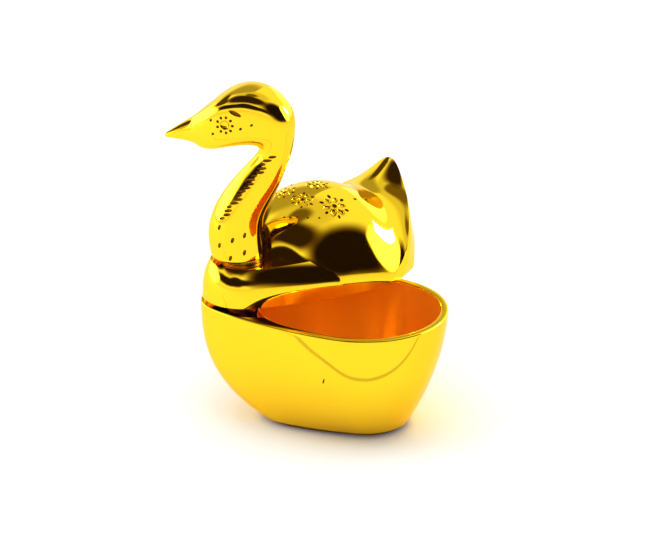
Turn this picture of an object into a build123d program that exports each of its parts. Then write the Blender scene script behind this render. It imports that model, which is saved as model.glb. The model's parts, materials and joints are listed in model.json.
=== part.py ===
from build123d import *
import os
from math import atan2, cos, pi, sin, sqrt

# Swan-shaped brass kumkum box. The bowl is the breast and belly, the lid is the back and tail,
# and the neck stands on the pin that the lid swivels on.
# Millimetres, +Z up, origin at the centre of the flat foot, +X along the bowl towards the tail.

# Bowl rim: a front arc round the pivot, a rear arc and two long side arcs
RIM_LENGTH = 48.4
BREAST_RADIUS = 8.0
STERN_RADIUS = 16.5
SIDE_RADIUS = 77.0
BOWL_HEIGHT = 24.0

# Flat foot, and how far ahead of its middle the pivot stands
FOOT_LENGTH = 26.6
FOOT_BREAST_RADIUS = 6.8
FOOT_STERN_RADIUS = 7.6
FOOT_SIDE_RADIUS = 60.0
PIVOT_AHEAD = 18.8

# How soon the hull swells from the foot to the rim at its breast, stern and sides
BREAST_SWELL = 3.1
STERN_SWELL = 1.8
SIDE_SWELL = 2.7

# Bowl hollow, with the shelf that carries the pivot left in front of it
BOWL_WALL = 1.6
BOWL_FLOOR = 2.4
SHELF_BEHIND_PIVOT = 3.4
HOLLOW_FRONT_RADIUS = 12.5
HOLLOW_FRONT_RAKE = 5.0
HOLLOW_CORNER = 4.0

# Pivot: a plain pin pressed into the bowl and the neck, with a washer below and above the lid
PIN_RADIUS = 1.5
PIN_DEPTH_IN_BOWL = 7.0
PIN_DEPTH_IN_NECK = 7.0
RUNNING_CLEARANCE = 0.05
END_FLOAT = 0.05
LOWER_WASHER_RADIUS = 3.1
LOWER_WASHER_THICKNESS = 0.9
UPPER_WASHER_RADIUS = 4.0
UPPER_WASHER_THICKNESS = 0.5

# Lid: how far it stands open, and heights above its lower edge
LID_OPEN_ANGLE = 55.0
LEDGE_HEIGHT = 7.4
SHOULDER_HEIGHT = 10.4
DOME_HEIGHT = 17.6
SADDLE_HEIGHT = 12.2
TAIL_HEIGHT = 17.4

# Lid: its lean at the breast and the stern, the tail's plan and the notch round the neck
LEDGE_LEAN = 0.9
TAIL_LEAN = 0.7
TAIL_STERN_RADIUS = 7.5
TAIL_SIDE_RADIUS = 28.0
LID_WALL = 1.7
NOTCH_CLEARANCE = 0.4

# Neck: its foot on the upper washer, the throat under the head, and how far it leans back
NECK_HEIGHT = 22.5
NECK_FOOT_RADIUS = 5.2
THROAT_RADIUS = 3.2
NECK_LEAN = 6.2

# Head and beak
HEAD_LENGTH = 19.4
HEAD_HEIGHT = 12.3
HEAD_WIDTH = 10.8
NAPE_BEHIND_THROAT = 4.2
CHIN_DROP = 0.4
BEAK_LENGTH = 6.2
BEAK_ROOT = 0.6
BEAK_BASE_HEIGHT = 5.5
BEAK_BASE_WIDTH = 4.4
BEAK_TIP_RADIUS = 0.35
BEAK_TIP_LIFT = 1.2

PIVOT_X = -PIVOT_AHEAD
LID_LENGTH = RIM_LENGTH - BREAST_RADIUS
LID_BASE_Z = BOWL_HEIGHT + LOWER_WASHER_THICKNESS
LEDGE_Z = LID_BASE_Z + LEDGE_HEIGHT
UPPER_WASHER_Z = LEDGE_Z + END_FLOAT
NECK_FOOT_Z = UPPER_WASHER_Z + UPPER_WASHER_THICKNESS
NOTCH_RADIUS = NECK_FOOT_RADIUS + NOTCH_CLEARANCE
PIVOT_AXIS = Axis((PIVOT_X, 0, 0), (0, 0, 1))
OVERCUT = 1.0


def between(start, end, share):
    return start + (end - start) * share


def on_pivot(radius, bottom, top):
    """Upright cylinder on the pivot axis."""
    blank = Cylinder(radius, top - bottom, align=(Align.CENTER, Align.CENTER, Align.MIN))
    return Pos(PIVOT_X, 0, bottom) * blank


def across(x, z):
    """Plane square to the length, drawn on with width as its X and height as its Y."""
    return Plane(origin=(x, 0, z), x_dir=(0, 1, 0), z_dir=(1, 0, 0))


def egg(front, rear, front_radius, rear_radius, side_radius, height):
    """Face bounded by a front and a rear arc and the side arcs that touch both."""
    front_x = front + front_radius
    span = rear - rear_radius - front_x
    to_front = side_radius - front_radius
    to_rear = side_radius - rear_radius
    side_x = (to_front**2 - to_rear**2 + span**2) / (2 * span)
    side_y = -sqrt(to_front**2 - side_x**2)
    front_turn = atan2(-side_y, -side_x)
    rear_turn = atan2(-side_y, span - side_x)
    middle_turn = (front_turn + rear_turn) / 2

    def point(centre_x, centre_y, radius, turn):
        return (front_x + centre_x + radius * cos(turn), centre_y + radius * sin(turn))

    def mirrored(place):
        return (place[0], -place[1])

    front_touch = point(0, 0, front_radius, front_turn)
    rear_touch = point(span, 0, rear_radius, rear_turn)
    side_middle = point(side_x, side_y, side_radius, middle_turn)
    outline = [
        ThreePointArc(mirrored(front_touch), (front, 0), front_touch),
        ThreePointArc(front_touch, side_middle, rear_touch),
        ThreePointArc(rear_touch, (rear, 0), mirrored(rear_touch)),
        ThreePointArc(mirrored(rear_touch), mirrored(side_middle), mirrored(front_touch)),
    ]
    return Pos(0, 0, height) * make_face(outline)


def ellipse(half_width, half_height):
    """Elliptical face whose outline always starts at the same side."""
    upper = EllipticalCenterArc((0, 0), half_width, half_height, 0, arc_size=180)
    lower = EllipticalCenterArc((0, 0), half_width, half_height, 180, arc_size=180)
    return make_face([upper, lower])


def swelling(level, power):
    """Share of the way from the foot to the rim at a level from 0 to 1."""
    return 1 - (1 - level) ** power


def hull_sizes(height):
    """Front, rear and the front, rear and side radii of the hull's outline at a height."""
    level = height / BOWL_HEIGHT
    breast = swelling(level, BREAST_SWELL)
    stern = swelling(level, STERN_SWELL)
    side = swelling(level, SIDE_SWELL)
    return (
        between(-FOOT_LENGTH / 2, PIVOT_X - BREAST_RADIUS, breast),
        between(FOOT_LENGTH / 2, PIVOT_X + LID_LENGTH, stern),
        between(FOOT_BREAST_RADIUS, BREAST_RADIUS, side),
        between(FOOT_STERN_RADIUS, STERN_RADIUS, side),
        between(FOOT_SIDE_RADIUS, SIDE_RADIUS, side),
    )


def hollow_section(height, corner_share=0.0, lift=0.0):
    """Outline of the bowl's hollow, drawn in near the floor by a share of its corner radius."""
    _, rear, _, rear_radius, side_radius = hull_sizes(height)
    drawn_in = HOLLOW_CORNER * corner_share
    depth_share = (BOWL_HEIGHT - height) / (BOWL_HEIGHT - BOWL_FLOOR)
    front = PIVOT_X + SHELF_BEHIND_PIVOT + HOLLOW_FRONT_RAKE * depth_share**2
    return egg(
        front + drawn_in,
        rear - BOWL_WALL - drawn_in,
        HOLLOW_FRONT_RADIUS * rear_radius / STERN_RADIUS - drawn_in,
        rear_radius - BOWL_WALL - drawn_in,
        side_radius - BOWL_WALL - drawn_in,
        height + lift,
    )


def make_bowl():
    heights = [BOWL_HEIGHT * level for level in (0, 0.06, 0.18, 0.4, 0.68, 1)]
    hull = loft([egg(*hull_sizes(height), height) for height in heights])
    sections = []
    for turn in (0, pi / 6, pi / 3, pi / 2):
        height = BOWL_FLOOR + HOLLOW_CORNER * (1 - cos(turn))
        sections.append(hollow_section(height, 1 - sin(turn)))
    sections.append(hollow_section(between(BOWL_FLOOR, BOWL_HEIGHT, 0.6)))
    sections.append(hollow_section(BOWL_HEIGHT))
    sections.append(hollow_section(BOWL_HEIGHT, lift=OVERCUT))
    pin_hole = on_pivot(PIN_RADIUS, BOWL_HEIGHT - PIN_DEPTH_IN_BOWL, BOWL_HEIGHT + OVERCUT)
    return hull - loft(sections) - pin_hole


def lid_wall(inset=0.0):
    """Solid inside the lid's upright walls, which narrow towards the tail as they rise."""
    top_radius = BREAST_RADIUS - LEDGE_LEAN
    rows = [
        (-OVERCUT, BREAST_RADIUS, 0.0),
        (0.0, BREAST_RADIUS, 0.0),
        (0.45 * LEDGE_HEIGHT, between(BREAST_RADIUS, top_radius, 0.35), 0.05),
        (LEDGE_HEIGHT, top_radius, 0.2),
        (0.7 * DOME_HEIGHT, top_radius, 0.54),
        (DOME_HEIGHT + OVERCUT, top_radius, 1.0),
    ]
    sections = []
    for height, front_radius, to_tail in rows:
        rear_radius = between(STERN_RADIUS, TAIL_STERN_RADIUS, to_tail)
        side_radius = between(SIDE_RADIUS, TAIL_SIDE_RADIUS, sqrt(to_tail))
        sections.append(
            egg(
                PIVOT_X - front_radius + inset,
                PIVOT_X + LID_LENGTH - TAIL_LEAN * sqrt(to_tail) - inset,
                front_radius - inset,
                rear_radius - inset,
                side_radius - inset,
                LID_BASE_Z + height,
            )
        )
    return loft(sections)


def arch(behind, half_width, crest):
    """Half ellipse across the lid, at a distance behind the pivot and from below the lid's edge."""
    curve = EllipticalCenterArc((0, 0), half_width, crest + OVERCUT, arc_size=180)
    base = Line(curve @ 1, curve @ 0)
    return across(PIVOT_X + behind, LID_BASE_Z - OVERCUT) * make_face([curve, base])


def lid_back(inset=0.0):
    """Dome, saddle and rising tail as a run of arches from the neck to the stern."""
    rows = [
        (0.095, 0.33, SHOULDER_HEIGHT),
        (0.165, 0.66, between(SHOULDER_HEIGHT, DOME_HEIGHT, 0.45)),
        (0.28, 0.84, between(SHOULDER_HEIGHT, DOME_HEIGHT, 0.82)),
        (0.45, 0.97, DOME_HEIGHT),
        (0.63, 1.05, between(SADDLE_HEIGHT, DOME_HEIGHT, 0.8)),
        (0.81, 1.02, SADDLE_HEIGHT),
        (0.92, 0.82, between(SADDLE_HEIGHT, TAIL_HEIGHT, 0.36)),
        (1.03, 0.58, TAIL_HEIGHT),
    ]
    sections = []
    for along, width, crest in rows:
        sections.append(arch(LID_LENGTH * along, STERN_RADIUS * width - inset, crest - inset))
    return loft(sections)


def make_lid():
    wall = lid_wall()
    reach = 2 * RIM_LENGTH
    lower_edge = Pos(0, 0, LID_BASE_Z) * Rectangle(2 * reach, 2 * reach)
    band = wall & extrude(lower_edge, LEDGE_HEIGHT)
    dome = wall & lid_back() & extrude(lower_edge, reach)
    notch = on_pivot(NOTCH_RADIUS, LEDGE_Z, LEDGE_Z + DOME_HEIGHT)
    boss = on_pivot(NOTCH_RADIUS + LID_WALL, LID_BASE_Z - 2 * OVERCUT, LID_BASE_Z + 2 * DOME_HEIGHT)
    hollow = (lid_wall(LID_WALL) & lid_back(LID_WALL)) - boss
    bore = on_pivot(PIN_RADIUS + RUNNING_CLEARANCE, LID_BASE_Z - OVERCUT, LEDGE_Z + OVERCUT)
    closed = band + dome - notch - hollow - bore
    return closed.rotate(PIVOT_AXIS, LID_OPEN_ANGLE)


def make_neck():
    """Upright S of level ellipses from the foot to inside the head."""
    rows = [
        (0.0, -0.15, 0.0, 0.0),
        (0.2, -0.25, -0.05, 0.0),
        (0.42, -0.11, 0.05, 0.15),
        (0.62, 0.24, 0.12, 0.45),
        (0.82, 0.66, 0.5, 0.8),
        (1.0, 1.0, 1.0, 1.05),
        (1.15, 1.09, 0.98, 1.05),
        (1.3, 0.95, 1.25, 1.2),
    ]
    sections = []
    for rise, lean, length_share, width_share in rows:
        half_length = between(NECK_FOOT_RADIUS, THROAT_RADIUS, length_share)
        half_width = between(NECK_FOOT_RADIUS, THROAT_RADIUS, width_share)
        place = Pos(PIVOT_X + NECK_LEAN * lean, 0, NECK_FOOT_Z + NECK_HEIGHT * rise)
        sections.append(place * ellipse(half_length, half_width))
    return loft(sections)


def make_neck_and_head():
    head_front = PIVOT_X + NECK_LEAN + NAPE_BEHIND_THROAT - HEAD_LENGTH
    chin_z = NECK_FOOT_Z + NECK_HEIGHT - CHIN_DROP
    rows = [
        (0.0, 0.4, 0.4, 0.02),
        (0.15, 0.75, 0.74, -0.02),
        (0.31, 0.92, 0.92, 0.05),
        (0.48, 1.0, 1.0, 0.11),
        (0.64, 0.95, 0.98, 0.16),
        (0.8, 0.78, 0.84, 0.22),
        (0.92, 0.52, 0.55, 0.3),
        (0.985, 0.22, 0.22, 0.42),
    ]
    sections = []
    for along, height_share, width_share, lift in rows:
        half_height = HEAD_HEIGHT * height_share / 2
        middle = chin_z + HEAD_HEIGHT * lift + half_height
        outline = ellipse(HEAD_WIDTH * width_share / 2, half_height)
        sections.append(across(head_front + HEAD_LENGTH * along, middle) * outline)
    head = loft(sections)
    base_outline = ellipse(BEAK_BASE_WIDTH / 2, BEAK_BASE_HEIGHT / 2)
    beak_base = across(head_front + BEAK_ROOT, chin_z + CHIN_DROP + BEAK_BASE_HEIGHT / 2) * base_outline
    tip_outline = ellipse(BEAK_TIP_RADIUS, BEAK_TIP_RADIUS)
    beak_tip = across(head_front - BEAK_LENGTH, chin_z + BEAK_TIP_LIFT) * tip_outline
    beak = loft([beak_tip, beak_base])
    pin_hole = on_pivot(PIN_RADIUS, NECK_FOOT_Z - OVERCUT, NECK_FOOT_Z + PIN_DEPTH_IN_NECK)
    return make_neck() + head + beak - pin_hole


def make_washer(radius, thickness, bottom):
    hole = on_pivot(PIN_RADIUS + RUNNING_CLEARANCE, bottom - OVERCUT, bottom + thickness + OVERCUT)
    return on_pivot(radius, bottom, bottom + thickness) - hole


nodes = {
    "bowl": make_bowl(),
    "lid": make_lid(),
    "neck_and_head": make_neck_and_head(),
    "pivot_pin": on_pivot(PIN_RADIUS, BOWL_HEIGHT - PIN_DEPTH_IN_BOWL, NECK_FOOT_Z + PIN_DEPTH_IN_NECK),
    "lower_washer": make_washer(LOWER_WASHER_RADIUS, LOWER_WASHER_THICKNESS, BOWL_HEIGHT),
    "upper_washer": make_washer(UPPER_WASHER_RADIUS, UPPER_WASHER_THICKNESS, UPPER_WASHER_Z),
}

os.makedirs("parts", exist_ok=True)
for name, solid in nodes.items():
    export_step(solid, f"parts/{name}.step")
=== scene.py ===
import json
from collections import namedtuple
from math import atan2, copysign, cos, pi, radians, sin, sqrt

import bmesh
import bpy
from mathutils import Matrix, Vector


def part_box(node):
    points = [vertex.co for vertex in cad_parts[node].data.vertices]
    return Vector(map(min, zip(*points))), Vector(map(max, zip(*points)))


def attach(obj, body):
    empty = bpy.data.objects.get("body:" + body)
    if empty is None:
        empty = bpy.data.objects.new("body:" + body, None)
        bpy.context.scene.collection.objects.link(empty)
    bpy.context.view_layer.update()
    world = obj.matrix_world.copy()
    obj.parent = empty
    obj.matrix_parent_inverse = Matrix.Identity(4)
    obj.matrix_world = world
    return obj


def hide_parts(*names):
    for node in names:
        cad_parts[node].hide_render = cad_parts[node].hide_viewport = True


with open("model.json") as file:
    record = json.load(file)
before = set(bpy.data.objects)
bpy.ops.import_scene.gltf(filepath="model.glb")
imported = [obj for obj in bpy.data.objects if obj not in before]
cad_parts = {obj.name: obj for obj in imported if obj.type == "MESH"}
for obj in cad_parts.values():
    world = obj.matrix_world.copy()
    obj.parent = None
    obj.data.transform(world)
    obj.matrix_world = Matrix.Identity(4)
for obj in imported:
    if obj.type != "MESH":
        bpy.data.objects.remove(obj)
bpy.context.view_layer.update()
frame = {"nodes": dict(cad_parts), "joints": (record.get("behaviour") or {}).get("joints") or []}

bl_info = {
    "name": "Swan kumkum box",
    "version": (1, 0, 0),
    "blender": (4, 5, 0),
    "location": "3D View > Sidebar > Kumkum Box",
    "description": "Models the polished brass pieces of a swan-shaped kumkum box on its CAD frame",
    "category": "Object",
}

# Shapes are worked out in millimetres and stored in metres
MM = 0.001
PIVOT_X = frame["joints"][0]["pos_m"][0] / MM
BOWL_LOW, BOWL_HIGH = (Vector(corner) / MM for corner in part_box("bowl"))
LID_LOW = Vector(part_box("lid")[0]) / MM
NECK_LOW = Vector(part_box("neck_and_head")[0]) / MM
# Room for the upper washer between the lid's ledge and the neck
WASHER_ROOM = 0.55
# Crease of a ring that stays an edge when its cage is smoothed
CREASE = 0.6
# Levels of subdivision of a plain cage, and of one whose polish shows every facet
SMOOTH_LEVELS = 2
FINE_LEVELS = 3
# Distance in metres within which a point counts as on a cutting plane
CUT_THRESHOLD = 1e-7
# Allowance for rounding when two places are compared
TINY = 1e-6
# Points round a cylinder and round the floor
ROUND_POINTS = 96


def linear(code):
    """Linear red, green and blue of an sRGB hex value."""
    shares = [int(code[start:start + 2], 16) / 255 for start in (1, 3, 5)]
    return [share / 12.92 if share <= 0.04045 else ((share + 0.055) / 1.055) ** 2.4 for share in shares]


def length(name, description, millimetres):
    """Length property whose default is given in millimetres."""
    return bpy.props.FloatProperty(
        name=name, description=description, default=millimetres * MM, unit="LENGTH"
    )


def colour(name, description, code):
    """Colour property whose default is given as an sRGB hex value."""
    return bpy.props.FloatVectorProperty(
        name=name, description=description, default=linear(code), subtype="COLOR", size=3, min=0, max=1
    )


class SwanBowlSizes(bpy.types.PropertyGroup):
    """Sizes of the belly and its hollow."""

    rim_length: length("Rim length", "Breast to stern at the rim", BOWL_HIGH.x - BOWL_LOW.x)
    height: length("Height", "Foot to rim", BOWL_HIGH.z)
    breast_radius: length("Breast radius", "Round front of the rim", -BOWL_LOW.x + PIVOT_X)
    stern_radius: length("Stern radius", "Round rear of the rim", BOWL_HIGH.y)
    side_radius: length("Side radius", "Long side arcs of the rim", 77.0)
    foot_length: length("Foot length", "Flat that the box stands on", 27.2)
    wall: length("Wall", "Thickness of the rim", 1.6)
    shelf: length("Shelf", "Flat behind the pivot, before the hollow", 3.4)


class SwanLidSizes(bpy.types.PropertyGroup):
    """Sizes of the back and tail that close the bowl."""

    open_angle: bpy.props.FloatProperty(
        name="Open angle", description="How far the lid stands open", default=radians(55), subtype="ANGLE"
    )
    ledge: length("Ledge", "Height of the breast band under the neck", NECK_LOW.z - LID_LOW.z - WASHER_ROOM)
    dome: length("Dome", "Highest point of the back above the lid's edge", 17.6)
    saddle: length("Saddle", "Dip between the back and the tail", 12.3)
    tail: length("Tail", "Tip of the tail above the lid's edge", 18.3)
    wall: length("Wall", "Thickness of the hollow lid", 1.7)


class SwanNeckSizes(bpy.types.PropertyGroup):
    """Sizes of the neck, the head and the beak."""

    girth: bpy.props.FloatProperty(
        name="Girth", description="Width of the neck and the head against the photographed one", default=1.0
    )
    eye: length("Eye", "Across the carved ring of the eye", 3.8)


class SwanFinish(bpy.types.PropertyGroup):
    """Colours of the brass."""

    polished: colour("Polished brass", "Outside of the box", "#ffd21e")
    inside: colour("Inside", "Turned surface of the hollows", "#ffb020")
    # Dark red-brown: tarnish in the punch marks, and painted shade in the neck's notch and under the foot
    tarnish_and_shade: colour("Punched", "Tarnish left in the punch marks", "#8a5510")
    turned: colour("Turned", "Pin and washers", "#c9a24a")


def deselect():
    """Leave edit mode and select nothing."""
    if bpy.context.mode != "OBJECT":
        bpy.ops.object.mode_set(mode="OBJECT")
    bpy.ops.object.select_all(action="DESELECT")


def pick(*pieces):
    """Select only these pieces, the first of them active."""
    deselect()
    for piece in pieces:
        piece.select_set(True)
    bpy.context.view_layer.objects.active = pieces[0]


def loft_rings(name, rings, material, crisp=None):
    """Closed cage through rings of points: a circle, extruded ring by ring and set on each outline.

    The ring numbered crisp is creased, so that it stays an edge when the cage is smoothed.
    """
    deselect()
    bpy.ops.mesh.primitive_circle_add(vertices=len(rings[0]), radius=MM)
    piece = bpy.context.object
    piece.name = name
    bpy.ops.object.mode_set(mode="EDIT")
    cage = bmesh.from_edit_mesh(piece.data)
    place = cage.verts.layers.int.new("place")
    for number, vert in enumerate(cage.verts):
        vert[place] = number
    for number, ring in enumerate(rings):
        if number:
            bpy.ops.mesh.extrude_edges_move()
        cage = bmesh.from_edit_mesh(piece.data)
        place = cage.verts.layers.int["place"]
        for vert in cage.verts:
            if vert.select:
                vert.co = Vector(ring[vert[place]]) * MM
        bmesh.update_edit_mesh(piece.data)
        if number == crisp:
            bpy.ops.transform.edge_crease(value=CREASE)
    bpy.ops.mesh.select_all(action="SELECT")
    bpy.ops.mesh.fill_holes(sides=0)
    bpy.ops.mesh.normals_make_consistent(inside=False)
    bpy.ops.object.mode_set(mode="OBJECT")
    piece.data.attributes.remove(piece.data.attributes["place"])
    piece.data.materials.append(material)
    return piece


def modify(piece, kind, **settings):
    """Add a modifier with its settings and apply it."""
    pick(piece)
    bpy.ops.object.modifier_add(type=kind)
    modifier = piece.modifiers[-1]
    for key, value in settings.items():
        setattr(modifier, key, value)
    bpy.ops.object.modifier_apply(modifier=modifier.name)


def smooth(piece, levels):
    """Round a cage by subdivision."""
    modify(piece, "SUBSURF", levels=levels, render_levels=levels)


def combine(piece, other, operation):
    """Join another closed piece to this one, or cut it away, and delete it."""
    modify(piece, "BOOLEAN", object=other, operation=operation, solver="EXACT", material_mode="TRANSFER")
    bpy.data.objects.remove(other)
    if not piece.data.polygons:
        raise RuntimeError(f"{operation} left no faces on {piece.name}")


def cut_level(piece, height, keep_above):
    """Cut a piece flat at a height and close the cut."""
    pick(piece)
    bpy.ops.object.mode_set(mode="EDIT")
    bpy.ops.mesh.select_all(action="SELECT")
    bpy.ops.mesh.bisect(
        plane_co=(0, 0, height * MM),
        plane_no=(0, 0, 1),
        threshold=CUT_THRESHOLD,
        use_fill=True,
        clear_inner=keep_above,
        clear_outer=not keep_above,
    )
    bpy.ops.object.mode_set(mode="OBJECT")


def shade(piece, sharp_angle):
    """Smooth shading that keeps the edges sharper than an angle in degrees."""
    pick(piece)
    bpy.ops.object.shade_smooth_by_angle(angle=radians(sharp_angle))


Mark = namedtuple("Mark", "place direction length width depth material")
MARK_SUBDIVISIONS = 2
# Marks of a flower: length, width and depth as shares of its radius, and how far out they lie
FLOWER_EYE = (0.36, 0.36, 0.14)
FLOWER_PETAL = (0.64, 0.42, 0.15)
FLOWER_CUT = (0.34, 0.22, 0.12)
PETAL_PLACE = 0.58
CUT_PLACE = 0.9
PETAL_VARIATION = 0.14
PETAL_TURN = 2.6
# Marks of an eye, as shares of its size
EYE_DISH = (0.52, 0.52, 0.13)
EYE_DOT = (0.17, 0.15, 0.06)
EYE_DOT_PLACE = 0.41


def surface_frame(piece, place, direction):
    """Nearest point of a piece, and axes along a direction, across it and out of the surface."""
    found, point, out, _ = piece.closest_point_on_mesh(Vector(place) * MM)
    if not found:
        raise RuntimeError(f"{piece.name} has no surface to mark")
    along = (Vector(direction) - out * out.dot(Vector(direction))).normalized()
    return point, along, out.cross(along), out


def engrave(piece, marks):
    """Cut punch marks into a piece: ellipsoids set into its surface and joined to one cutter."""
    cutters = []
    for mark in marks:
        point, along, across, out = surface_frame(piece, mark.place, mark.direction)
        deselect()
        bpy.ops.mesh.primitive_ico_sphere_add(
            subdivisions=MARK_SUBDIVISIONS,
            radius=MM,
            location=point,
            rotation=Matrix((along, across, out)).transposed().to_euler(),
            scale=(mark.length / 2, mark.width / 2, mark.depth),
        )
        cutters.append(bpy.context.object)
        cutters[-1].data.materials.append(mark.material)
    pick(*cutters)
    if len(cutters) > 1:
        bpy.ops.object.join()
    bpy.ops.object.transform_apply(location=True, rotation=True, scale=True)
    combine(piece, cutters[0], "DIFFERENCE")


def share_mark(place, direction, size, shares, material):
    """Punch mark whose length, width and depth are shares of a size."""
    return Mark(place, direction, *(share * size for share in shares), material)


def flower(piece, place, radius, petals):
    """Marks of a hand-punched flower: uneven petals round a dark eye, with a cut between neighbours."""
    point, along, across, _ = surface_frame(piece, place, (1, 0, 0))
    point /= MM
    marks = [share_mark(point, along, radius, FLOWER_EYE, tarnished_and_shaded_brass())]
    for number in range(2 * petals):
        turn = pi * number / petals + radius
        ray = along * cos(turn) + across * sin(turn)
        size = radius * (1 + PETAL_VARIATION * sin(PETAL_TURN * number + radius))
        if number % 2:
            marks.append(share_mark(point + ray * CUT_PLACE * radius, ray, size, FLOWER_CUT, tarnished_and_shaded_brass()))
        else:
            petal = point + ray * PETAL_PLACE * radius
            marks.append(share_mark(petal, ray, size, FLOWER_PETAL, buffed_brass()))
    return marks


def dotted_eye(piece, place, size, dots):
    """Marks of an eye: a bright dish in a ring of dark dots."""
    point, along, across, _ = surface_frame(piece, place, (1, 0, 0))
    point /= MM
    marks = [share_mark(point, along, size, EYE_DISH, buffed_brass())]
    for number in range(dots):
        turn = 2 * pi * number / dots
        ray = along * cos(turn) + across * sin(turn)
        marks.append(share_mark(point + ray * EYE_DOT_PLACE * size, ray, size, EYE_DOT, tarnished_and_shaded_brass()))
    return marks


def both_sides(points):
    """Points, and the same points on the other side of the swan."""
    return [(x, side * y, z) for x, y, z in points for side in (1, -1)]


def egg_arcs(front, rear, front_radius, rear_radius, side_radius):
    """Arcs of half an egg from its front point to its rear point: centre, radius, first and last turn."""
    front_x = front + front_radius
    rear_x = rear - rear_radius
    span = rear_x - front_x
    to_front = side_radius - front_radius
    to_rear = side_radius - rear_radius
    side_x = (to_front**2 - to_rear**2 + span**2) / (2 * span)
    side_y = -sqrt(to_front**2 - side_x**2)
    front_turn = atan2(-side_y, -side_x)
    rear_turn = atan2(-side_y, span - side_x)
    return [
        (front_x, 0, front_radius, pi, front_turn),
        (front_x + side_x, side_y, side_radius, front_turn, rear_turn),
        (rear_x, 0, rear_radius, rear_turn, 0),
    ]


def egg_outline(arcs, count):
    """Evenly spaced points round an egg, from its front point."""
    spans = [radius * (first - last) for _, _, radius, first, last in arcs]
    points = []
    for step in range(count // 2 + 1):
        along = sum(spans) * step / (count // 2)
        number = 0
        while number < len(arcs) - 1 and along > spans[number]:
            along -= spans[number]
            number += 1
        x, y, radius, first, _ = arcs[number]
        turn = first - along / radius
        points.append((x + radius * cos(turn), y + radius * sin(turn)))
    return points + [(x, -y) for x, y in reversed(points[1:-1])]


def egg_half_width(arcs, place):
    """Half the width of an egg at a place along it."""
    for x, y, radius, _, last in arcs:
        if place <= x + radius * cos(last) + TINY:
            return y + sqrt(max(radius**2 - (place - x) ** 2, 0))
    return 0.0


def between(start, end, share):
    """Value at a share of the way from a start to an end."""
    return start + (end - start) * share


def from_table(rows, place):
    """Value at a place in rows of places and values, straight between them."""
    for (low, first), (high, last) in zip(rows, rows[1:]):
        if place <= high:
            return between(first, last, max(0, (place - low) / (high - low)))
    return rows[-1][1]


def swelling(level, power):
    """Share of the full swell at a level between foot and rim, rounder with a higher power."""
    return 1 - (1 - level) ** power


def rim_arcs(bowl):
    """Outline of the bowl's rim."""
    front = PIVOT_X - bowl.breast_radius / MM
    return egg_arcs(
        front,
        front + bowl.rim_length / MM,
        bowl.breast_radius / MM,
        bowl.stern_radius / MM,
        bowl.side_radius / MM,
    )


# Hull: how it swells from the foot to the rim at its side, breast and stern, and the outline of the foot
SIDE_SWELL = 2.7
BREAST_SWELL = 3.1
STERN_SWELL = 1.8
BREAST_FULLNESS = 0.4
FOOT_BREAST_RADIUS = 6.8
FOOT_STERN_RADIUS = 7.6
FOOT_SIDE_RADIUS = 60.0
FOOT_INSETS = (4.0, 1.3, 0.8)
FOOT_CHAMFER = 1.1
FOOT_ROUNDING = 0.3
HULL_LEVELS = (0.1, 0.18, 0.28, 0.42, 0.58, 0.74, 0.88, 0.97)
LIP_ROUNDING = 0.2
BOWL_POINTS = 48
BOWL_SHARP_ANGLE = 60
# Hollow of the bowl: its floor, its front wall and the round corner between floor and wall
BOWL_FLOOR = 2.4
HOLLOW_FRONT_RADIUS = 12.5
HOLLOW_RAKE = 5.0
HOLLOW_LEVELS = (0.95, 0.8, 0.6, 0.4)
HOLLOW_CORNER = 4.0
HOLLOW_CORNER_TURNS = (90, 60, 35, 10)
FLOOR_INSET = 1.3
# Faces that get the inside's finish: how far they keep from the hull's ends, side, foot and lip
HOLLOW_END_MARGIN = 1
HOLLOW_SIDE_MARGIN = 0.8
HOLLOW_FLOOR_MARGIN = 0.5
HOLLOW_LIP_MARGIN = 0.3
OVERHANG = -0.2
FACING_DOWN = -0.5
SATIN_SLOT = 1
# Slot of the dark brass on the foot's chamfer and underside: painted shade of the contact with the floor
FOOT_SHADE_SLOT = 2
# Nick in the side of the bowl: its place, direction, and its length, width and depth
SCRATCH = (PIVOT_X + 19.2, -15.2, 14.6)
SCRATCH_LEAN = (0.3, 0, 1)
SCRATCH_SIZE = (1.3, 0.35, 0.12)


def hull_sizes(bowl, height):
    """Front, rear and the front, rear and side radii of the hull at a height."""
    level = min(height / (bowl.height / MM), 1)
    front = PIVOT_X - bowl.breast_radius / MM - BREAST_FULLNESS
    half_foot = bowl.foot_length / MM / 2
    side = swelling(level, SIDE_SWELL)
    return [
        between(-half_foot, front, swelling(level, BREAST_SWELL)),
        between(half_foot, front + BREAST_FULLNESS + bowl.rim_length / MM, swelling(level, STERN_SWELL)),
        between(FOOT_BREAST_RADIUS, bowl.breast_radius / MM, side),
        between(FOOT_STERN_RADIUS, bowl.stern_radius / MM, side),
        between(FOOT_SIDE_RADIUS, bowl.side_radius / MM, side),
    ]


def hull_ring(bowl, height, inset=0.0):
    """Ring round the outside of the bowl."""
    front, rear, front_radius, rear_radius, side_radius = hull_sizes(bowl, height)
    arcs = egg_arcs(
        front + inset,
        rear - inset,
        front_radius - inset,
        rear_radius - inset,
        side_radius - inset,
    )
    return [(x, y, height) for x, y in egg_outline(arcs, BOWL_POINTS)]


def hollow_ring(bowl, height, drawn_in=0.0):
    """Ring round the bowl's hollow, drawn in near its floor."""
    _, rear, _, rear_radius, side_radius = hull_sizes(bowl, height)
    top = bowl.height / MM
    depth_share = (top - height) / (top - BOWL_FLOOR)
    front = PIVOT_X + bowl.shelf / MM + HOLLOW_RAKE * depth_share**2
    wall = bowl.wall / MM
    arcs = egg_arcs(
        front + drawn_in,
        rear - wall - drawn_in,
        HOLLOW_FRONT_RADIUS * rear_radius / (bowl.stern_radius / MM) - drawn_in,
        rear_radius - wall - drawn_in,
        side_radius - wall - drawn_in,
    )
    return [(x, y, height) for x, y in egg_outline(arcs, BOWL_POINTS)]


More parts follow.
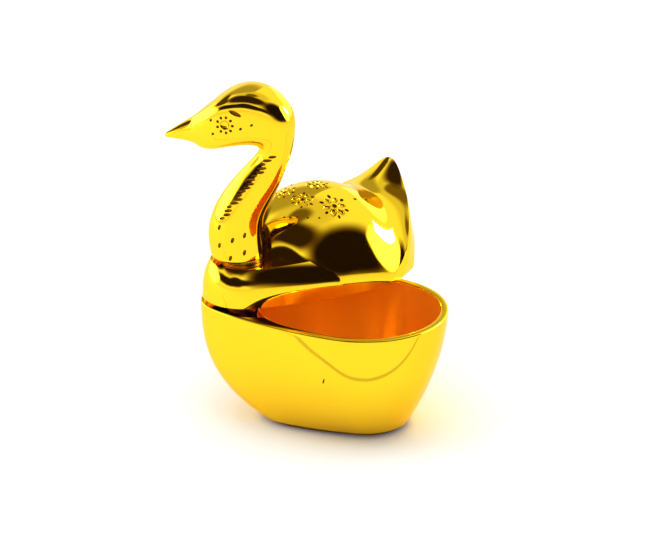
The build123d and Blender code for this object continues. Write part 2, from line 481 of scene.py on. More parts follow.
def inside_hollow(bowl, point):
    """Whether a point lies well inside the outer hull at its height."""
    sizes = hull_sizes(bowl, point.z)
    front, rear = sizes[:2]
    if point.x < front + HOLLOW_END_MARGIN or point.x > rear - HOLLOW_END_MARGIN:
        return False
    half_width = egg_half_width(egg_arcs(*sizes), point.x)
    return abs(point.y) < half_width - HOLLOW_SIDE_MARGIN and point.z > BOWL_FLOOR - HOLLOW_FLOOR_MARGIN


class SWAN_OT_bowl(bpy.types.Operator):
    """Model the belly of the swan as one hollow casting"""

    bl_idname = "swan.bowl"
    bl_label = "Bowl"

    def execute(self, context):
        bowl = context.scene.swan_bowl
        top = bowl.height / MM
        rings = [hull_ring(bowl, 0, inset) for inset in FOOT_INSETS]
        rings += [hull_ring(bowl, FOOT_CHAMFER), hull_ring(bowl, FOOT_CHAMFER + FOOT_ROUNDING)]
        rings += [hull_ring(bowl, top * level) for level in HULL_LEVELS]
        rings += [hull_ring(bowl, top - LIP_ROUNDING), hull_ring(bowl, top, LIP_ROUNDING)]
        rings += [hollow_ring(bowl, top, -LIP_ROUNDING), hollow_ring(bowl, top - LIP_ROUNDING)]
        rings += [hollow_ring(bowl, top * level) for level in HOLLOW_LEVELS]
        for turn in HOLLOW_CORNER_TURNS:
            height = BOWL_FLOOR + HOLLOW_CORNER * (1 - cos(radians(turn)))
            rings.append(hollow_ring(bowl, height, HOLLOW_CORNER * (1 - sin(radians(turn)))))
        rings.append(hollow_ring(bowl, BOWL_FLOOR, HOLLOW_CORNER * FLOOR_INSET))
        piece = loft_rings("polished_bowl", rings, buffed_brass())
        smooth(piece, SMOOTH_LEVELS)
        piece.data.materials.append(satin_brass())
        piece.data.materials.append(tarnished_and_shaded_brass())
        for face in piece.data.polygons:
            centre = face.center / MM
            below_lip = centre.z < top - HOLLOW_LIP_MARGIN
            # Down-facing faces of the foot's chamfer and underside: painted shade of the contact with the
            # floor
            if face.normal.z < FACING_DOWN and centre.z < FOOT_CHAMFER:
                face.material_index = FOOT_SHADE_SLOT
            if face.normal.z > OVERHANG and below_lip and inside_hollow(bowl, centre):
                face.material_index = SATIN_SLOT
        engrave(piece, [Mark(SCRATCH, SCRATCH_LEAN, *SCRATCH_SIZE, tarnished_and_shaded_brass())])
        shade(piece, BOWL_SHARP_ANGLE)
        finish_piece(piece, "base", "bowl")
        return {"FINISHED"}


# Arches across the lid: how far they start below its lower edge, the skirt under them and the tail's ridge
ARCH_STEPS = 24
EDGE_DROP = 0.5
SKIRT = (-4.0, -2.0)
SKIRT_SHARES = (-0.5, 0, 0.5)
RIDGE_POWER = 22
SHOULDER_SHARE = 0.6
STERN_FULLNESS = 1.04
STERN_SWEEP = 1.3
NARROWEST_ARCH = 1.0
# Rear wall of the lid: radius at heights above its lower edge, lean, and its rings, the first one creased
TRANSOM_RADII = [(0, 15.9), (2.0, 16.3), (4.5, 16.2), (7.4, 15.3), (12.3, 11.2), (15.1, 8.3), (18.6, 5.0)]
TAIL_LEAN = 0.7
TRANSOM_RINGS = 6
# Hollow of the lid: where it starts to follow the back, and its front's place, margin, crest and fullness
LID_HOLLOW_FROM = 8
LID_HOLLOW_FRONT = 9
LID_HOLLOW_MARGIN = 1
LID_HOLLOW_CREST = 0.74
LID_HOLLOW_FULLNESS = 1.1


def transom_place(behind, width, height, inset):
    """Distance behind the pivot of the lid's rear wall at a width and height."""
    radius = from_table(TRANSOM_RADII, height) - inset
    centre = behind - inset - TAIL_LEAN * sqrt(max(height, 0) / TRANSOM_RADII[-1][0]) - radius
    return centre + sqrt(max(radius**2 - width**2, 0))


def arch_ring(base_z, base, half_width, crest, fullness, ridge=0.0, crest_place=None, wall=None):
    """Closed ring across the lid: an arch from edge to edge with a ridge on it, and a skirt below it.

    The arch stands upright on its base, or sweeps to the place of its crest, or lies on a wall.
    """
    upper = []
    for step in range(ARCH_STEPS + 1):
        turn = pi * step / ARCH_STEPS
        rise = max(sin(turn), 0)
        width = half_width * cos(turn)
        height = -EDGE_DROP + (crest - ridge + EDGE_DROP) * rise**fullness + ridge * rise**RIDGE_POWER
        along = base
        if crest_place is not None:
            along = between(base, crest_place, rise**STERN_SWEEP)
        if wall:
            along = wall(abs(width), height)
        upper.append((along, width, height))
    foot = wall(half_width, 0) if wall else base
    right = [(foot, half_width, skirt) for skirt in SKIRT]
    left = [(foot, -half_width, skirt) for skirt in reversed(SKIRT)]
    under = [(foot, half_width * share, SKIRT[0]) for share in SKIRT_SHARES]
    return [(PIVOT_X + x, y, base_z + z) for x, y, z in right + upper + left + under]


def back_rings(bowl, lid, base_z, inset=0.0):
    """Rings of the back from the neck over the dome and the saddle to the tail, and down its rear."""
    arcs = rim_arcs(bowl)
    behind = bowl.rim_length / MM - bowl.breast_radius / MM
    dome, saddle, tail = lid.dome / MM, lid.saddle / MM, lid.tail / MM
    shoulder = SHOULDER_SHARE * dome
    # Place behind the pivot, share of the rim's width, crest and fullness
    front_rows = [
        (1.0, 0.32, 0.82 * shoulder, 1.1),
        (3.4, 0.5, shoulder, 1.0),
        (5.2, 0.74, between(shoulder, dome, 0.3), 0.95),
        (6.6, 0.86, between(shoulder, dome, 0.48), 0.94),
        (8.4, 0.935, between(shoulder, dome, 0.65), 0.95),
        (11.3, 0.985, between(shoulder, dome, 0.84), 0.98),
        (14.6, 1.0, between(shoulder, dome, 0.97), 1.02),
        (17.6, 1.0, dome, 1.06),
    ]
    # Place of the edge and of the crest behind the pivot, crest and ridge
    rear_rows = [
        (19.6, 21.4, between(saddle, dome, 0.97), 0.0),
        (21.2, 25.4, between(saddle, dome, 0.78), 0.0),
        (22.6, 29.4, between(saddle, dome, 0.36), 0.0),
        (23.7, 32.8, between(saddle, tail, 0.06), 0.2),
        (24.8, 36.2, between(saddle, tail, 0.4), 0.38 * (tail - saddle)),
    ]
    # Half width, crest, fullness and ridge
    transom_rows = [
        (16.35, tail, 0.95, 0.85 * (tail - saddle)),
        (15.6, 0.72 * tail, 1.0, 0.0),
        (13.2, 0.5 * tail, 1.0, 0.0),
        (9.4, 0.28 * tail, 1.0, 0.0),
        (5.0, 0.1 * tail, 1.0, 0.0),
        (1.8, 0.0, 1.0, 0.0),
    ]

    def rear_wall(width, height):
        """Place of the rear wall of this shell."""
        return transom_place(behind, width, height, inset)

    rings = []
    if inset:
        width = egg_half_width(arcs, PIVOT_X + LID_HOLLOW_FRONT) - inset - LID_HOLLOW_MARGIN
        crest = LID_HOLLOW_CREST * dome - inset
        rings.append(arch_ring(base_z, LID_HOLLOW_FRONT, width, crest, LID_HOLLOW_FULLNESS))
        front_rows = [row for row in front_rows if row[0] >= LID_HOLLOW_FROM]
    for place, share, crest, fullness in front_rows:
        width = share * egg_half_width(arcs, PIVOT_X + place) - inset
        rings.append(arch_ring(base_z, place, width, crest - inset, fullness))
    for place, crest_place, crest, ridge in rear_rows:
        width = egg_half_width(arcs, PIVOT_X + place) - inset
        swept_to = crest_place - inset
        rings.append(arch_ring(base_z, place, width, crest - inset, STERN_FULLNESS, ridge, swept_to))
    for half_width, crest, fullness, ridge in transom_rows:
        width = max(half_width - inset, NARROWEST_ARCH)
        rings.append(arch_ring(base_z, 0, width, max(crest - inset, 0), fullness, ridge, wall=rear_wall))
    return rings


# Breast band: its rear end and where it turns in, behind the pivot, how its top leans in, and its heights
BAND_REAR = 23.0
BAND_TURN = 12.0
BAND_LEAN = 0.2
BAND_LEAN_GAIN = 0.004
BAND_ROUNDING = 3
BAND_POINTS = 40
BAND_UNDER = (-3.0, -1.5, 0.0)
BAND_SHARES = (0.25, 0.5, 0.75, 1)
BAND_OVER = 1.5


def band_ring(bowl, lid, height, base_z):
    """Ring round the breast band, which ends inside the dome."""
    arcs = rim_arcs(bowl)
    front = -bowl.breast_radius / MM
    half = BAND_POINTS // 2
    points = []
    for step in range(half + 1):
        along = between(front, BAND_REAR, (1 - cos(pi * step / half)) / 2)
        width = egg_half_width(arcs, PIVOT_X + along)
        if along > BAND_TURN:
            width *= sqrt(max(1 - ((along - BAND_TURN) / (BAND_REAR - BAND_TURN)) ** 2, 0))
        points.append((along, width))
    points += [(x, -y) for x, y in reversed(points[1:-1])]
    rise = max(height / (lid.ledge / MM), 0) ** BAND_ROUNDING
    ring = []
    for x, y in points:
        scale = 1 - rise * (BAND_LEAN + BAND_LEAN_GAIN * max(x, 0))
        ring.append((PIVOT_X + x * scale, y * scale, base_z + height))
    return ring


def drill(piece, name, radius, bottom, top, material):
    """Cut an upright cylinder on the pivot out of a piece, in millimetres."""
    deselect()
    bpy.ops.mesh.primitive_cylinder_add(
        vertices=ROUND_POINTS,
        radius=radius * MM,
        depth=(top - bottom) * MM,
        location=(PIVOT_X * MM, 0, (top + bottom) / 2 * MM),
    )
    cutter = bpy.context.object
    cutter.name = name
    bpy.ops.object.transform_apply(location=True, rotation=True, scale=True)
    cutter.data.materials.append(material)
    combine(piece, cutter, "DIFFERENCE")


NOTCH_RADIUS = 5.6
PIN_BORE = 1.55
BORE_OVERRUN = 2
LID_SHARP_ANGLE = 32
# Ornament on the back, with the lid closed: places behind and beside the pivot and above the rim,
# and the length, width and depth of the marks
FLOWERS = [((13.4, 2.6, 17.5), 2.3), ((17.7, 7.0, 16.3), 2.9), ((19.6, 0.0, 18.0), 2.4)]
FLOWER_PETALS = 6
BACK_DOTS = [(8.3, 2.9, 15.2), (9.0, 3.8, 15.3), (9.9, 4.8, 15.4), (11.4, 6.2, 15.3), (13.2, 7.6, 15.3)]
BACK_DOT_SIZE = (0.45, 0.45, 0.2)
SADDLE_PITS = [(23.5, 6.5, 15.9), (27.0, 6.0, 14.8)]
SADDLE_PIT_SIZE = (1.0, 0.6, 0.25)


def lid_place(place):
    """Place on the closed lid, from one behind and beside the pivot and above the rim."""
    return (PIVOT_X + place[0], place[1], BOWL_HIGH.z + place[2])


def lid_marks(piece):
    """Flowers, dots and pits of the lid."""
    marks = []
    for place, radius in FLOWERS:
        mirrored = both_sides([place]) if place[1] else [place]
        for side in mirrored:
            marks += flower(piece, lid_place(side), radius, FLOWER_PETALS)
    for dot in both_sides(BACK_DOTS):
        marks.append(Mark(lid_place(dot), (1, 0, 0), *BACK_DOT_SIZE, tarnished_and_shaded_brass()))
    for pit in both_sides(SADDLE_PITS):
        marks.append(Mark(lid_place(pit), (1, 0, 0), *SADDLE_PIT_SIZE, tarnished_and_shaded_brass()))
    return marks


class SWAN_OT_lid(bpy.types.Operator):
    """Model the back and the tail as a hollow lid with the band that sits under the neck"""

    bl_idname = "swan.lid"
    bl_label = "Lid"

    def execute(self, context):
        bowl = context.scene.swan_bowl
        lid = context.scene.swan_lid
        base_z = LID_LOW.z
        ledge = lid.ledge / MM
        back = back_rings(bowl, lid, base_z)
        piece = loft_rings("polished_lid", back, buffed_brass(), len(back) - TRANSOM_RINGS)
        smooth(piece, FINE_LEVELS)
        cut_level(piece, base_z, True)
        heights = [*BAND_UNDER, *(share * ledge for share in BAND_SHARES), ledge + BAND_OVER]
        rings = [band_ring(bowl, lid, height, base_z) for height in heights]
        band = loft_rings("breast_band", rings, buffed_brass())
        smooth(band, SMOOTH_LEVELS)
        cut_level(band, base_z, True)
        cut_level(band, base_z + ledge, False)
        combine(piece, band, "UNION")
        hollow = loft_rings("lid_hollow", back_rings(bowl, lid, base_z, lid.wall / MM), satin_brass())
        smooth(hollow, SMOOTH_LEVELS)
        combine(piece, hollow, "DIFFERENCE")
        ledge_z = base_z + ledge
        # The notch's walls take the dark brass: painted shade of the crevice between the neck and the lid, on
        # dull unpolished metal
        drill(piece, "neck_notch", NOTCH_RADIUS, ledge_z, base_z + 2 * lid.dome / MM, tarnished_and_shaded_brass())
        drill(piece, "pin_bore", PIN_BORE, base_z - BORE_OVERRUN, ledge_z + BORE_OVERRUN, satin_brass())
        engrave(piece, lid_marks(piece))
        swing = Matrix.Rotation(lid.open_angle, 4, "Z")
        pivot = Matrix.Translation((PIVOT_X * MM, 0, 0))
        piece.data.transform(pivot @ swing @ pivot.inverted())
        shade(piece, LID_SHARP_ANGLE)
        finish_piece(piece, "lid", "lid")
        return {"FINISHED"}


# Neck and head: front and back of each ring as places behind and above the pivot on the ledge, half width,
# and the power that squares it, which is 1 for an ellipse
NECK_RINGS = [
    ((-5.6, 0.0), (3.8, 0.0), 4.7, 1.0),
    ((-6.15, 0.12), (4.3, 0.12), 5.2, 1.0),
    ((-6.4, 1.0), (4.35, 1.0), 5.3, 1.0),
    ((-6.9, 4.5), (3.8, 4.5), 5.3, 1.0),
    ((-6.35, 8.0), (4.0, 8.2), 5.0, 1.0),
    ((-4.8, 11.6), (5.4, 11.2), 4.6, 1.0),
    ((-2.6, 14.9), (7.2, 14.6), 4.2, 1.0),
    ((-0.1, 18.0), (8.4, 17.9), 3.7, 1.0),
    ((2.3, 20.6), (9.3, 20.4), 3.3, 1.0),
    ((3.5, 22.4), (10.0, 22.6), 3.2, 1.0),
    ((3.2, 23.2), (10.5, 26.2), 3.7, 0.9),
    ((2.5, 23.45), (10.5, 30.1), 4.6, 0.86),
    ((1.4, 23.5), (7.1, 34.2), 5.2, 0.72),
    ((-0.2, 23.4), (2.1, 35.7), 5.4, 0.63),
    ((-2.7, 22.8), (-2.3, 34.4), 5.1, 0.6),
    ((-5.4, 22.0), (-5.6, 31.5), 4.3, 0.62),
    ((-7.5, 21.85), (-7.9, 29.5), 3.3, 0.75),
    ((-8.8, 22.4), (-9.1, 28.4), 2.4, 0.9),
    ((-9.7, 22.8), (-9.8, 27.8), 2.1, 1.0),
    ((-12.3, 23.1), (-12.4, 26.1), 1.25, 1.0),
    ((-14.7, 23.25), (-14.8, 24.3), 0.5, 1.0),
    ((-15.15, 23.4), (-15.2, 24.0), 0.25, 1.0),
]
NECK_POINTS = 24
NECK_SHARP_ANGLE = 45


def neck_ring(front, back, half_width, power):
    """Ring between a front and a back point in the plane of the neck, the same on both sides."""
    ring = []
    for step in range(NECK_POINTS):
        turn = 2 * pi * step / NECK_POINTS
        along, across = (copysign(abs(share) ** power, share) for share in (cos(turn), sin(turn)))
        x = between(front[0], back[0], (1 + along) / 2)
        z = between(front[1], back[1], (1 + along) / 2)
        ring.append((PIVOT_X + x, half_width * across, NECK_LOW.z + z))
    return ring


# Ornament of the neck and head: places behind and beside the pivot and above the floor, directions,
# and the length, width and depth of the marks
EYE = (-2.15, 5.07, 61.35)
EYE_DOTS = 9
BROW = (-0.1, 5.2, 63.9)
BROW_LEAN = (1, 0, -0.35)
BROW_SIZE = (2.8, 0.9, 0.25)
CHEEK_DOTS = [(-5.1, 4.5, 61.9), (-4.6, 4.5, 59.2), (1.0, 5.25, 60.9), (3.15, 5.25, 61.8)]
CHEEK_LEAN = (1, 0, 1)
CHEEK_SIZE = (0.7, 0.5, 0.2)
HATCH_TOP = (6.3, 3.2, 54.9)
HATCH_FOOT = (-3.0, 4.4, 42.0)
HATCH_LEAN = (1, 0, 0.15)
HATCH_CUTS = 17
HATCH_LENGTH = 1.8
HATCH_WIDTH = 0.6
HATCH_DEPTH = 0.25
HATCH_VARIATION = 0.5
HATCH_TURN = 2.3
HATCH_SHIFT = 0.4
NECK_PUNCHES = [
    (-3.5, 4.4, 40.1),
    (-3.45, 4.8, 36.5),
    (-0.8, 5.1, 37.9),
    (1.4, 4.3, 38.8),
    (1.4, 4.5, 35.3),
    (-1.2, 5.2, 34.2),
]
PUNCH_LEAN = (0.3, 0, 1)
PUNCH_SIZE = (1.2, 0.65, 0.25)


def neck_place(place):
    """Place on the neck or head, from one behind and beside the pivot and above the floor."""
    return (PIVOT_X + place[0], place[1], place[2])


def neck_marks(piece, neck):
    """Eyes, brows, the hatched lines and the punches, on both sides."""
    dark = tarnished_and_shaded_brass()
    marks = []
    for side in both_sides([EYE]):
        marks += dotted_eye(piece, neck_place(side), neck.eye / MM, EYE_DOTS)
    for brow in both_sides([BROW]):
        marks.append(Mark(neck_place(brow), BROW_LEAN, *BROW_SIZE, dark))
    for dot in both_sides(CHEEK_DOTS):
        marks.append(Mark(neck_place(dot), CHEEK_LEAN, *CHEEK_SIZE, dark))
    for number in range(HATCH_CUTS):
        share = number / (HATCH_CUTS - 1)
        cut = [between(top, foot, share) for top, foot in zip(HATCH_TOP, HATCH_FOOT)]
        cut[0] += HATCH_SHIFT * cos(HATCH_TURN * number * 2)
        reach = HATCH_LENGTH + HATCH_VARIATION * sin(HATCH_TURN * number)
        for side in both_sides([cut]):
            marks.append(Mark(neck_place(side), HATCH_LEAN, reach, HATCH_WIDTH, HATCH_DEPTH, dark))
    for punch in both_sides(NECK_PUNCHES):
        marks.append(Mark(neck_place(punch), PUNCH_LEAN, *PUNCH_SIZE, dark))
    return marks


class SWAN_OT_neck(bpy.types.Operator):
    """Model the neck, the head and the beak as one casting"""

    bl_idname = "swan.neck"
    bl_label = "Neck and head"

    def execute(self, context):
        girth = context.scene.swan_neck.girth
        rings = [neck_ring(front, back, width * girth, power) for front, back, width, power in NECK_RINGS]
        piece = loft_rings("polished_neck_and_head", rings, buffed_brass())
        smooth(piece, FINE_LEVELS)
        engrave(piece, neck_marks(piece, context.scene.swan_neck))
        shade(piece, NECK_SHARP_ANGLE)
        finish_piece(piece, "base", "neck_and_head")
        return {"FINISHED"}


def add_node(tree, kind, settings=None, links=None):
    """Add a shader node, set its values by socket or attribute and link its inputs."""
    node = tree.nodes.new(kind)
    for key, value in (settings or {}).items():
        if isinstance(key, int) or key in node.inputs:
            node.inputs[key].default_value = value
        else:
            setattr(node, key, value)
    for key, source in (links or {}).items():
        tree.links.new(source, node.inputs[key])
    return node


def new_material(name):
    """New material without nodes, and its node tree."""
    material = bpy.data.materials.new(name)
    material.use_nodes = True
    material.node_tree.nodes.clear()
    return material, material.node_tree


# Wear that varies the gloss: its grain in millimetres, the range of noise it uses and its share of roughness
WEAR_GRAIN = 2.5
WEAR_DETAIL = 4.0
WEAR_NOISE = (0.3, 0.7)
WEAR_ROUGHNESS = (0.8, 1.3)
WAVE_DETAIL = 1.0
COAT_ROUGHNESS = 0.05
EDGE_TINT = "#ffedbc"


def brass(name, base, roughness, wave, wave_height, coat=0.0, metallic=1.0, stretch=1.0):
    """Metal with a slightly uneven polish: long hand-made waves and a fine variation of the gloss.

    The waves are given in millimetres, and are drawn out upwards where stretch is below 1.
    """
    if name in bpy.data.materials:
        return bpy.data.materials[name]
    material, tree = new_material(name)
    coordinates = add_node(tree, "ShaderNodeTexCoord")
    drawn = add_node(
        tree, "ShaderNodeVectorMath", {"operation": "MULTIPLY", 1: (1, 1, stretch)},
        {0: coordinates.outputs["Object"]},
    )
    waves = add_node(
        tree, "ShaderNodeTexNoise", {"Scale": 1 / (wave * MM), "Detail": WAVE_DETAIL},
        {"Vector": drawn.outputs["Vector"]},
    )
    bump = add_node(
        tree, "ShaderNodeBump", {"Strength": 1.0, "Distance": wave_height * MM},
        {"Height": waves.outputs["Fac"]},
    )
    wear = add_node(
        tree, "ShaderNodeTexNoise", {"Scale": 1 / (WEAR_GRAIN * MM), "Detail": WEAR_DETAIL},
        {"Vector": drawn.outputs["Vector"]},
    )
    gloss = add_node(
        tree, "ShaderNodeMapRange",
        {
            "From Min": WEAR_NOISE[0],
            "From Max": WEAR_NOISE[1],
            "To Min": roughness * WEAR_ROUGHNESS[0],
            "To Max": roughness * WEAR_ROUGHNESS[1],
        },
        {"Value": wear.outputs["Fac"]},
    )
    metal = add_node(
        tree, "ShaderNodeBsdfPrincipled",
        {
            "Base Color": [*base, 1],
            "Metallic": metallic,
            "Specular Tint": [*linear(EDGE_TINT), 1],
            "Coat Weight": coat,
            "Coat Roughness": COAT_ROUGHNESS,
        },
        {"Roughness": gloss.outputs["Result"], "Normal": bump.outputs["Normal"]},
    )
    add_node(tree, "ShaderNodeOutputMaterial", None, {"Surface": metal.outputs["BSDF"]})
    return material


def buffed_brass():
    """Buffed and lacquered brass: saturated yellow mirrors with slightly wavy edges."""
    base = bpy.context.scene.swan_finish.polished
    return brass("buffed_brass", base, roughness=0.05, wave=9, wave_height=0.04, coat=0.15)


def satin_brass():
    """Turned inside of the bowl and the lid: a warm, blurred gloss in upright streaks."""
    base = bpy.context.scene.swan_finish.inside
    return brass("satin_brass", base, roughness=0.42, wave=4, wave_height=0.12, metallic=0.6, stretch=0.1)


def tarnished_and_shaded_brass():
    """Dull red-brown brass: tarnish in the punch marks; in the neck's notch and on the foot's chamfer and
    underside its dark colour is painted shade of the crevice and of the contact with the floor.
    """
    base = bpy.context.scene.swan_finish.tarnish_and_shade
    return brass("tarnished_and_shaded_brass", base, roughness=0.5, wave=0.8, wave_height=0.25)


def turned_brass():
    """Plain turned brass of the pin and washers: an even, soft shine."""
    base = bpy.context.scene.swan_finish.turned
    return brass("turned_brass", base, roughness=0.3, wave=2, wave_height=0.01)


def finish_piece(piece, body, node):
    """Put a piece on its body and hide the CAD node that it stands for."""
    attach(piece, body)
    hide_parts(node)


class SWAN_OT_pivot(bpy.types.Operator):
    """Give the pin and the washers of the CAD frame their finish"""

    bl_idname = "swan.pivot"
    bl_label = "Pin and washers"

    def execute(self, context):
        for name in ("pivot_pin", "lower_washer", "upper_washer"):
            node = frame["nodes"][name]
            node.data.materials.clear()
            node.data.materials.append(turned_brass())
        return {"FINISHED"}


# Camera, fitted to the rim, the foot and the lid's edge in the photograph
PHOTO_WIDTH = 650
PHOTO_HEIGHT = 538
CAMERA_AZIMUTH = radians(13.28)
CAMERA_ELEVATION = radians(23.07)
CAMERA_DISTANCE = 0.8
CLIP_START = 0.01
PIXELS_PER_METRE = 5150
PIVOT_PIXEL = (242.87, 296.58)
SENSOR = 36


def add_camera():
    """Camera at the photograph's angle, with the pivot at the rim on its pixel."""
    focal = PIXELS_PER_METRE * CAMERA_DISTANCE
    back = Vector((
        sin(CAMERA_AZIMUTH) * cos(CAMERA_ELEVATION),
        -cos(CAMERA_AZIMUTH) * cos(CAMERA_ELEVATION),
        sin(CAMERA_ELEVATION),
    ))
    right = Vector((cos(CAMERA_AZIMUTH), sin(CAMERA_AZIMUTH), 0))
    up = back.cross(right)
    pivot = Vector((PIVOT_X, 0, BOWL_HIGH.z)) * MM
    aside = PHOTO_WIDTH / 2 - PIVOT_PIXEL[0]
    below = PHOTO_HEIGHT / 2 - PIVOT_PIXEL[1]
    aim = -back * focal + right * aside - up * below
    bpy.ops.object.camera_add(location=pivot + back * CAMERA_DISTANCE)
    camera = bpy.context.object
    camera.rotation_euler = aim.to_track_quat("-Z", "Y").to_euler()
    camera.data.sensor_width = SENSOR
    camera.data.lens = focal * SENSOR / PHOTO_WIDTH
    camera.data.clip_start = CLIP_START
    bpy.context.scene.camera = camera


# Lamps: place and size in metres, and power in watts
TOP_LAMP = ((0, 0, 1.0), 0.9, 5)
LEFT_WINDOW = ((-0.55, -0.05, 0.3), 0.4, 1.2)
RIGHT_LAMP = ((0.45, 0.37, 0.21), 0.15, 4)
LAMP_TARGET = (0, 0, 0.03)


def add_light(name, location, size, power):
    """Soft square lamp aimed at the box."""
    bpy.ops.object.light_add(type="AREA", location=location)
    lamp = bpy.context.object
    lamp.name = name
    lamp.data.size = size
    lamp.data.energy = power
    lamp.rotation_euler = (Vector(LAMP_TARGET) - Vector(location)).to_track_quat("-Z", "Y").to_euler()
    return lamp


FLOOR_RADIUS = 1.2
FLOOR_WHITE = "#fbfbfb"
# Painted shadow line of a second sheet's edge on the floor: a glowing grey strip, seen only as a line in the
# side of the bowl
EDGE_SHADOW_MIDDLE = (0.007, -0.032, 0.0002)
EDGE_SHADOW_TURN = radians(23.5)
EDGE_SHADOW_SIZE = (0.22, 0.0022, 1)
EDGE_SHADOW_GREY = "#e0e0e0"


def add_floor():
    """Pale floor that the box stands on."""
    deselect()
    bpy.ops.mesh.primitive_circle_add(
        vertices=ROUND_POINTS, radius=FLOOR_RADIUS, fill_type="NGON", location=(0, 0, 0)
    )
    floor = bpy.context.object
    floor.name = "pale_floor"
    # Plain white paper: an even ground that keeps the shadow
    material, tree = new_material("white_paper")
    paper = add_node(tree, "ShaderNodeBsdfDiffuse", {"Color": [*linear(FLOOR_WHITE), 1]})
    add_node(tree, "ShaderNodeOutputMaterial", None, {"Surface": paper.outputs["BSDF"]})
    floor.data.materials.append(material)


def add_painted_edge_shadow():
    """Painted shadow line on the floor, which glows grey and which only the polish shows."""
    deselect()
    bpy.ops.mesh.primitive_plane_add(size=1, location=EDGE_SHADOW_MIDDLE, rotation=(0, 0, EDGE_SHADOW_TURN))
    edge = bpy.context.object
    edge.scale = EDGE_SHADOW_SIZE
    edge.name = "painted_edge_shadow"
    # Painted edge shadow: a grey glowing line without shading
    material, tree = new_material("painted_edge_shadow")
    line = add_node(tree, "ShaderNodeEmission", {"Color": [*linear(EDGE_SHADOW_GREY), 1], "Strength": 1.0})
    add_node(tree, "ShaderNodeOutputMaterial", None, {"Surface": line.outputs["Emission"]})
    edge.data.materials.append(material)
    edge.visible_camera = False
    edge.visible_diffuse = False
    edge.visible_shadow = False


# Studio mirrored in the brass: azimuth and elevation of each patch, half its width and height in degrees,
# softness of its edge and its brightness
STUDIO_PATCHES = {
    "ceiling": (0, 90, 1000, 36, 0.5, 0.8),
    "ceiling_hatch": (0, 90, 1000, 13, 0.7, 0.18),
    "rear_left_wall": (-152, 42, 34, 26, 0.6, 0.45),
    "upper_dark": (-17, 54, 74, 27, 0.45, 0.03),
    "left_dark": (-97, 31, 36, 11, 0.45, 0.08),
    "right_dark": (68, 22, 45, 29, 0.55, 0.012),
    "low_dark": (-18, 13, 60, 10, 0.45, 0.02),
    "right_softbox": (112, 12, 18, 17, 0.45, 4.0),
    "rear_softbox": (160, 4, 22, 14, 0.4, 3.0),
    "left_softbox": (-98, 7, 34, 11, 0.4, 6.0),
}
# Brightness of the room between the patches, of the light that it gives, and of the background
ROOM_BRIGHTNESS = 1.2
ROOM_LIGHT = 0.75
BACKGROUND = 1.0
# Warm tint of the dark walls, which fades up to a brightness
DARK_WALL = "#ffc48a"
PALE_WALL = "#ffffff"
WARM_UP_TO = 0.5
# How far the edges of the patches wander, in degrees, and the noise that they follow
EDGE_WANDER = 3
WANDER_SCALE = 2.5
WANDER_DETAIL = 0.5
DEGREE = radians(1)
# Sockets of a Mix node that hold colours
MIX_COLOUR_A = 6
MIX_COLOUR_B = 7
MIX_COLOUR_RESULT = 2


def add_patch(tree, turn, rise, below, patch):
    """Lay one patch of the studio over the brightness below it."""
    azimuth, elevation, half_width, half_height, softness, brightness = patch
    squares = []
    for angle, middle, half in ((turn, azimuth, half_width), (rise, elevation, half_height)):
        offset = add_node(
            tree, "ShaderNodeMath",
            {"operation": "MULTIPLY_ADD", 1: 1 / (half * DEGREE), 2: -middle / half}, {0: angle},
        )
        squares.append(
            add_node(tree, "ShaderNodeMath", {"operation": "POWER", 1: 2.0}, {0: offset.outputs[0]})
        )
    distance = add_node(
        tree, "ShaderNodeMath", {"operation": "ADD"}, {0: squares[0].outputs[0], 1: squares[1].outputs[0]}
    )
    cover = add_node(
        tree, "ShaderNodeMapRange",
        {"interpolation_type": "SMOOTHSTEP", "From Min": 1 + softness, "From Max": 1 - softness},
        {"Value": distance.outputs[0]},
    )
    return add_node(tree, "ShaderNodeMix", {"B": brightness}, {"Factor": cover.outputs["Result"], "A": below})


def studio_angles(tree):
    """Nodes for the azimuth and the elevation of a direction, which wander so that no edge is ruled."""
    direction = add_node(tree, "ShaderNodeTexCoord")
    axes = add_node(tree, "ShaderNodeSeparateXYZ", None, {"Vector": direction.outputs["Generated"]})
    front = add_node(tree, "ShaderNodeMath", {"operation": "MULTIPLY", 1: -1.0}, {0: axes.outputs["Y"]})
    turn = add_node(
        tree, "ShaderNodeMath", {"operation": "ARCTAN2"}, {0: axes.outputs["X"], 1: front.outputs[0]}
    )
    rise = add_node(tree, "ShaderNodeMath", {"operation": "ARCSINE"}, {0: axes.outputs["Z"]})
    unevenness = add_node(
        tree, "ShaderNodeTexNoise", {"Scale": WANDER_SCALE, "Detail": WANDER_DETAIL, "normalize": False},
        {"Vector": direction.outputs["Generated"]},
    )
    wander = add_node(tree, "ShaderNodeSeparateXYZ", None, {"Vector": unevenness.outputs["Color"]})
    return [
        add_node(
            tree, "ShaderNodeMath", {"operation": "MULTIPLY_ADD", 1: EDGE_WANDER * DEGREE},
            {0: wander.outputs[axis], 2: angle.outputs[0]},
        )
        for axis, angle in (("X", turn), ("Y", rise))
    ]


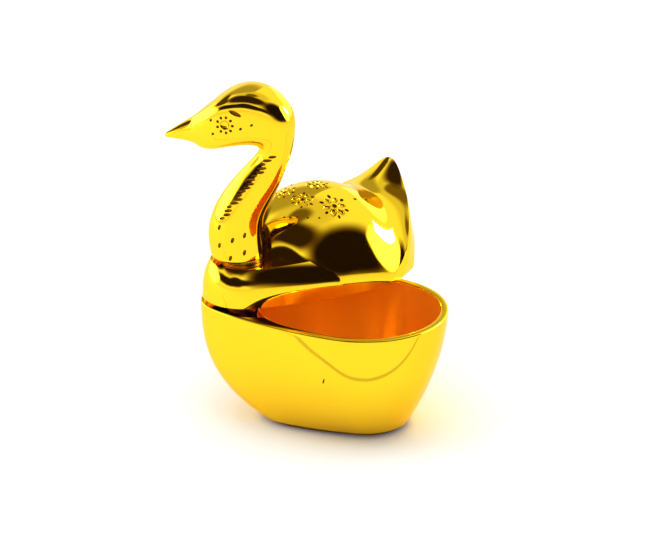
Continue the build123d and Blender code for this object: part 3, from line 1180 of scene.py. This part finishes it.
def add_studio(scene):
    """World whose patches the brass mirrors, with a plain background and a plain level of light."""
    world = bpy.data.worlds.new("studio")
    scene.world = world
    world.use_nodes = True
    tree = world.node_tree
    tree.nodes.clear()
    path = add_node(tree, "ShaderNodeLightPath")
    turn, rise = studio_angles(tree)
    room = add_node(tree, "ShaderNodeValue")
    room.outputs[0].default_value = ROOM_BRIGHTNESS
    for patch in STUDIO_PATCHES.values():
        room = add_patch(tree, turn.outputs[0], rise.outputs[0], room.outputs[0], patch)
    mirrored = add_node(
        tree, "ShaderNodeMix", {"A": ROOM_LIGHT},
        {"Factor": path.outputs["Is Glossy Ray"], "B": room.outputs[0]},
    )
    level = add_node(
        tree, "ShaderNodeMix", {"B": BACKGROUND},
        {"Factor": path.outputs["Is Camera Ray"], "A": mirrored.outputs["Result"]},
    )
    paleness = add_node(
        tree, "ShaderNodeMapRange", {"From Max": WARM_UP_TO}, {"Value": level.outputs["Result"]}
    )
    tint = add_node(
        tree, "ShaderNodeMix",
        {
            "data_type": "RGBA",
            MIX_COLOUR_A: [*linear(DARK_WALL), 1],
            MIX_COLOUR_B: [*linear(PALE_WALL), 1],
        },
        {0: paleness.outputs["Result"]},
    )
    sky = add_node(
        tree, "ShaderNodeBackground", None,
        {"Color": tint.outputs[MIX_COLOUR_RESULT], "Strength": level.outputs["Result"]},
    )
    add_node(tree, "ShaderNodeOutputWorld", None, {"Surface": sky.outputs["Background"]})


class SWAN_OT_stage(bpy.types.Operator):
    """Set up the floor, the lamps, the studio that the brass mirrors, and the camera"""

    bl_idname = "swan.stage"
    bl_label = "Stage"

    def execute(self, context):
        add_floor()
        add_painted_edge_shadow()
        add_light("top_lamp", *TOP_LAMP).visible_glossy = False
        add_light("left_window", *LEFT_WINDOW).visible_glossy = False
        add_light("right_lamp", *RIGHT_LAMP).visible_diffuse = False
        add_studio(context.scene)
        add_camera()
        context.scene.view_settings.view_transform = "Standard"
        return {"FINISHED"}


class SWAN_PT_pieces(bpy.types.Panel):
    """Lists the pieces of the box"""

    bl_label = "Kumkum Box"
    bl_idname = "SWAN_PT_pieces"
    bl_space_type = "VIEW_3D"
    bl_region_type = "UI"
    bl_category = "Kumkum Box"

    def draw(self, context):
        for operator in OPERATORS:
            self.layout.operator(operator.bl_idname)


OPERATORS = (SWAN_OT_bowl, SWAN_OT_lid, SWAN_OT_neck, SWAN_OT_pivot, SWAN_OT_stage)
GROUPS = {
    "swan_bowl": SwanBowlSizes,
    "swan_lid": SwanLidSizes,
    "swan_neck": SwanNeckSizes,
    "swan_finish": SwanFinish,
}


def register():
    for group in GROUPS.values():
        bpy.utils.register_class(group)
    for name, group in GROUPS.items():
        setattr(bpy.types.Scene, name, bpy.props.PointerProperty(type=group))
    for operator in OPERATORS:
        bpy.utils.register_class(operator)
    bpy.utils.register_class(SWAN_PT_pieces)


def unregister():
    bpy.utils.unregister_class(SWAN_PT_pieces)
    for operator in reversed(OPERATORS):
        bpy.utils.unregister_class(operator)
    for name, group in GROUPS.items():
        delattr(bpy.types.Scene, name)
        bpy.utils.unregister_class(group)


def main():
    register()
    bpy.ops.swan.bowl()
    bpy.ops.swan.lid()
    bpy.ops.swan.neck()
    bpy.ops.swan.pivot()
    bpy.ops.swan.stage()


if __name__ == "__main__":
    main()
